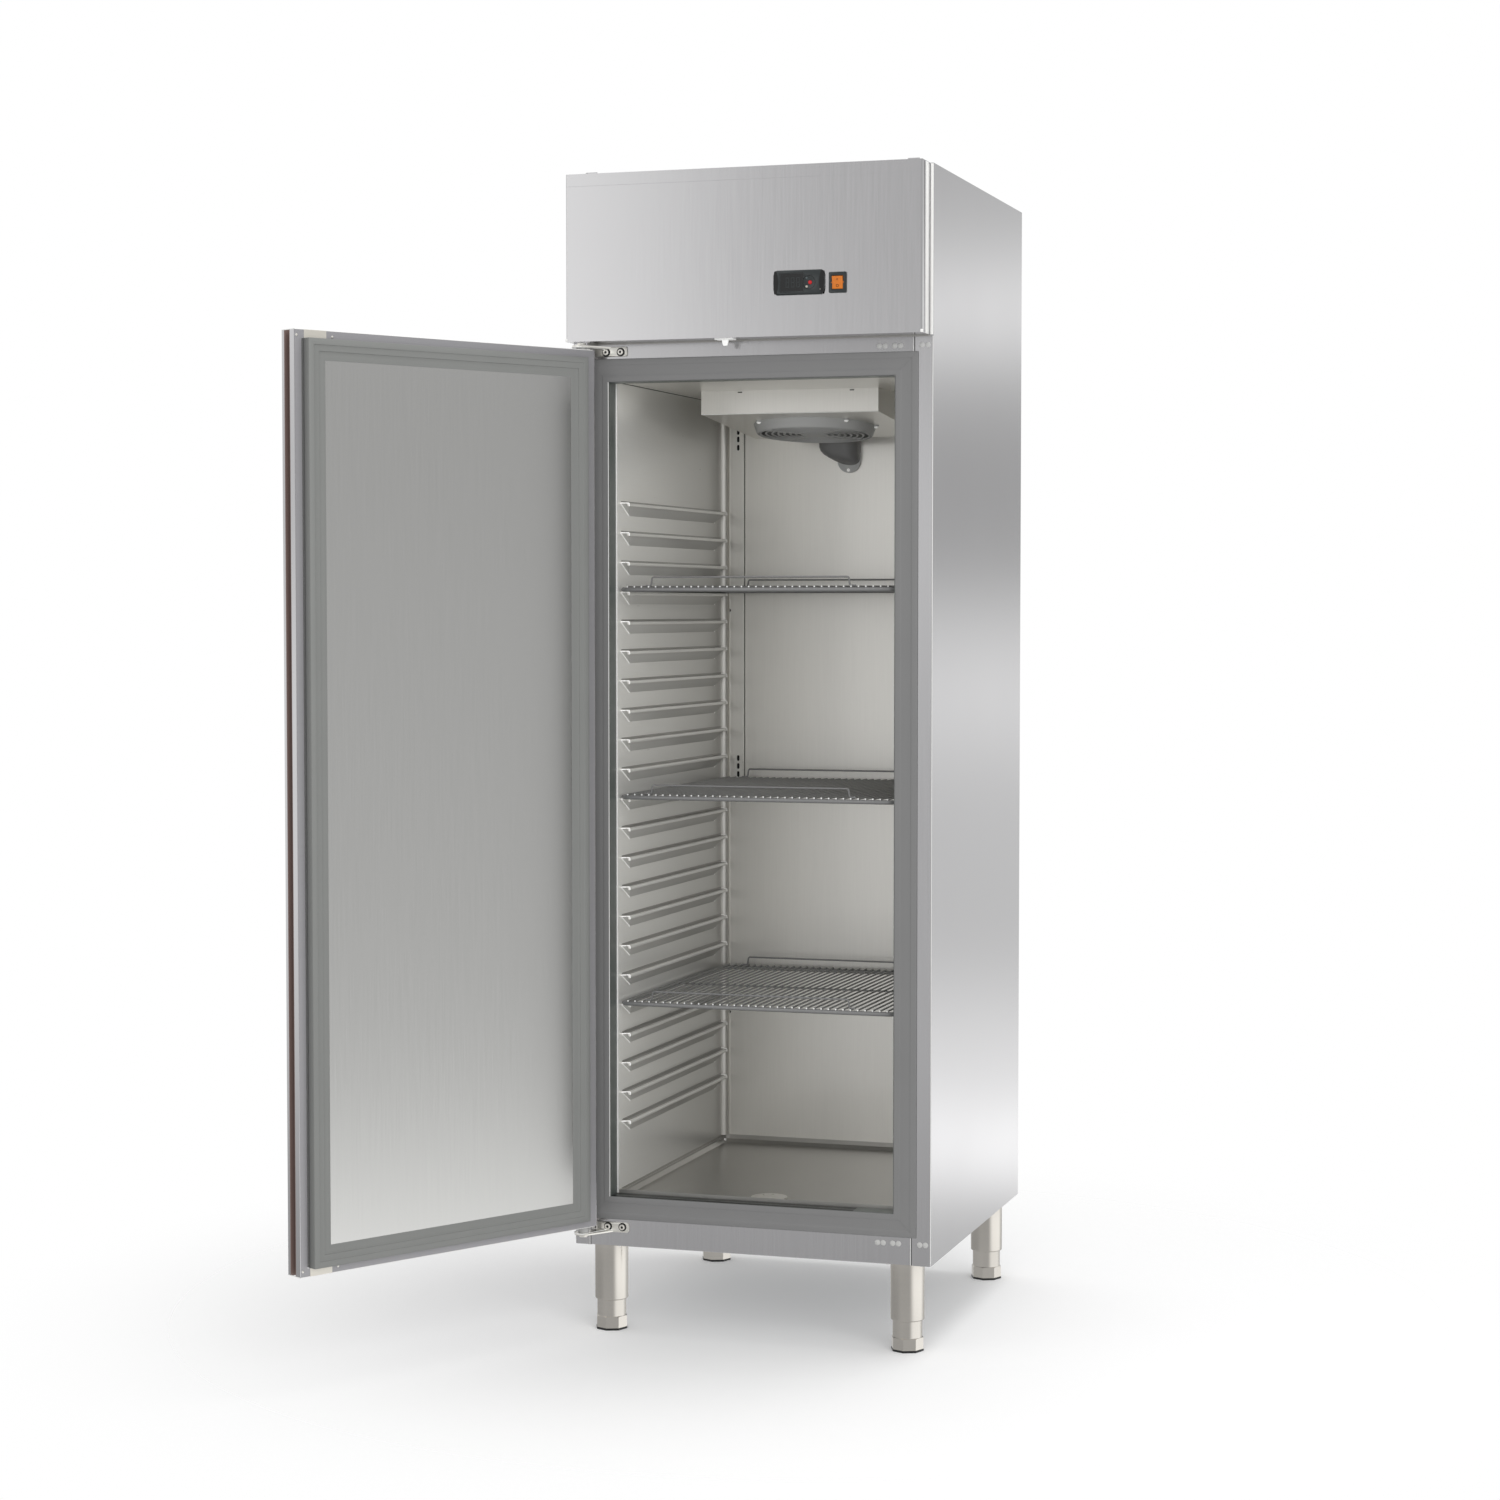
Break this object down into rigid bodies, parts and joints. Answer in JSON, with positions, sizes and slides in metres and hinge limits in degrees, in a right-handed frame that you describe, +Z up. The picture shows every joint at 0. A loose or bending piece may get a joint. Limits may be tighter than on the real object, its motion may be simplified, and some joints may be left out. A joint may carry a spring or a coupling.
{
  "type": "upright refrigerator",
  "caption": "Stainless upright refrigerator on legs, with a hinged insulated door, wire shelves on pressed runners, a fan-cooled compartment and a machine compartment behind a tilting fascia.",
  "frame": {"origin": "on the floor, midway between the left and right sides and between the front and rear of the cabinet", "axes": "+X to the right seen from the front, +Y to the rear, +Z up"},
  "size_m": [0.8689, 1.1622, 1.889],
  "materials": {
    "satin_stainless": "satin, brushed vertically",
    "liner_stainless": "satin",
    "galvanised_sheet": "matt galvanised",
    "foam": "matt",
    "frame_grey_plastic": "satin",
    "gasket_rubber": "satin",
    "grip_brown_plastic": "satin",
    "hinge_steel": "satin",
    "plug_plastic": "matt",
    "leg_nickel": "satin nickel",
    "shelf_wire": "bright grey",
    "fin_aluminium": "matt",
    "fan_plastic": "satin",
    "motor_black": "satin",
    "copper_pipe": "dull copper",
    "black_plastic": "satin",
    "display_window": "gloss",
    "key_red": "gloss",
    "key_grey": "gloss",
    "key_pale": "gloss",
    "rocker_orange": "translucent gloss",
    "white_plastic": "satin"
  },
  "bodies": {
    "cabinet": {"side_panel_left": "satin_stainless", "side_panel_right": "satin_stainless", "rear_panel": "galvanised_sheet", "rear_vent_panel": "galvanised_sheet", "base_panel": "galvanised_sheet", "machine_deck": "galvanised_sheet", "top_rail": "satin_stainless", "bottom_rail": "satin_stainless", "insulation": "foam", "breaker_frame": "frame_grey_plastic", "liner_left": "liner_stainless", "liner_right": "liner_stainless", "liner_rear": "liner_stainless", "liner_ceiling": "liner_stainless", "liner_floor": "liner_stainless", "floor_drain": "liner_stainless", "fascia_hinge_rail": "satin_stainless", "hinge_brackets": "hinge_steel", "hinge_pins": "hinge_steel", "hinge_screws": "hinge_steel", "hole_plugs": "plug_plastic", "leg_tubes": "leg_nickel", "probe_channel": "liner_stainless", "evaporator_housing": "liner_stainless", "fan_guard": "frame_grey_plastic", "evaporator_fan_motor": "motor_black", "evaporator_coil": "fin_aluminium", "drain_elbow": "frame_grey_plastic", "machine_tray": "galvanised_sheet", "condenser_coil": "fin_aluminium", "condenser_shroud": "galvanised_sheet", "condenser_fan_motor": "motor_black", "compressor": "motor_black", "refrigerant_line": "copper_pipe", "electrical_box": "black_plastic"},
    "door": {"door_outer_skin": "satin_stainless", "door_foam": "foam", "door_end_caps": "satin_stainless", "door_inner_panel": "liner_stainless", "door_gasket": "gasket_rubber", "grip_profile": "grip_brown_plastic", "hinge_bushes": "plug_plastic"},
    "fascia": {"fascia_panel": "satin_stainless", "controller_housing": "black_plastic", "controller_window": "display_window", "switch_frame": "black_plastic", "door_sensor": "white_plastic"},
    "key_power": {"key_power": "key_red"},
    "key_up": {"key_up": "key_grey"},
    "key_down": {"key_down": "key_pale"},
    "rocker": {"switch_rocker": "rocker_orange"},
    "evaporator_fan": {"evaporator_fan_blades": "fan_plastic"},
    "condenser_fan": {"condenser_fan_blades": "fan_plastic"},
    "shelf_upper": {"shelf_upper": "shelf_wire"},
    "shelf_middle": {"shelf_middle": "shelf_wire"},
    "shelf_lower": {"shelf_lower": "shelf_wire"},
    "foot_front_left": {"foot_front_left": "leg_nickel"},
    "foot_front_right": {"foot_front_right": "leg_nickel"},
    "foot_rear_left": {"foot_rear_left": "leg_nickel"},
    "foot_rear_right": {"foot_rear_right": "leg_nickel"}
  },
  "joints": [
    {"name": "door_hinge", "type": "hinge", "parent": "cabinet", "child": "door", "pos_m": [-0.274, -0.35, 0.845], "axis": [0, 0, -1], "range_deg": [-120, 60]},
    {"name": "fascia_hinge", "type": "hinge", "parent": "cabinet", "child": "fascia", "pos_m": [0, -0.3165, 1.885], "axis": [-1, 0, 0], "range_deg": [0, 80]},
    {"name": "switch_rocker", "type": "hinge", "parent": "fascia", "child": "rocker", "pos_m": [0.159, -0.3665, 1.6943], "axis": [-1, 0, 0], "range_deg": [0, 16]},
    {"name": "power_key", "type": "slide", "parent": "fascia", "child": "key_power", "axis": [0, 1, 0], "range_m": [0, 0.0008], "stiffness_N_per_m": 900},
    {"name": "up_key", "type": "slide", "parent": "fascia", "child": "key_up", "axis": [0, 1, 0], "range_m": [0, 0.0008], "stiffness_N_per_m": 900},
    {"name": "down_key", "type": "slide", "parent": "fascia", "child": "key_down", "axis": [0, 1, 0], "range_m": [0, 0.0008], "stiffness_N_per_m": 900},
    {"name": "evaporator_fan_spin", "type": "hinge", "parent": "cabinet", "child": "evaporator_fan", "pos_m": [-0.0193, 0.1162, 1.50227], "axis": [0, 0.0808, 0.9967], "continuous": true},
    {"name": "condenser_fan_spin", "type": "hinge", "parent": "cabinet", "child": "condenser_fan", "pos_m": [-0.12, -0.1715, 1.715], "axis": [0, 1, 0], "continuous": true},
    {"name": "shelf_upper_slide", "type": "slide", "parent": "cabinet", "child": "shelf_upper", "axis": [0, -1, 0], "range_m": [0, 0.26]},
    {"name": "shelf_middle_slide", "type": "slide", "parent": "cabinet", "child": "shelf_middle", "axis": [0, -1, 0], "range_m": [0, 0.26]},
    {"name": "shelf_lower_slide", "type": "slide", "parent": "cabinet", "child": "shelf_lower", "axis": [0, -1, 0], "range_m": [0, 0.26]},
    {"name": "foot_front_left_height", "type": "slide", "parent": "cabinet", "child": "foot_front_left", "axis": [0, 0, -1], "range_m": [0, 0.04]},
    {"name": "foot_front_right_height", "type": "slide", "parent": "cabinet", "child": "foot_front_right", "axis": [0, 0, -1], "range_m": [0, 0.04]},
    {"name": "foot_rear_left_height", "type": "slide", "parent": "cabinet", "child": "foot_rear_left", "axis": [0, 0, -1], "range_m": [0, 0.04]},
    {"name": "foot_rear_right_height", "type": "slide", "parent": "cabinet", "child": "foot_rear_right", "axis": [0, 0, -1], "range_m": [0, 0.04]}
  ]
}
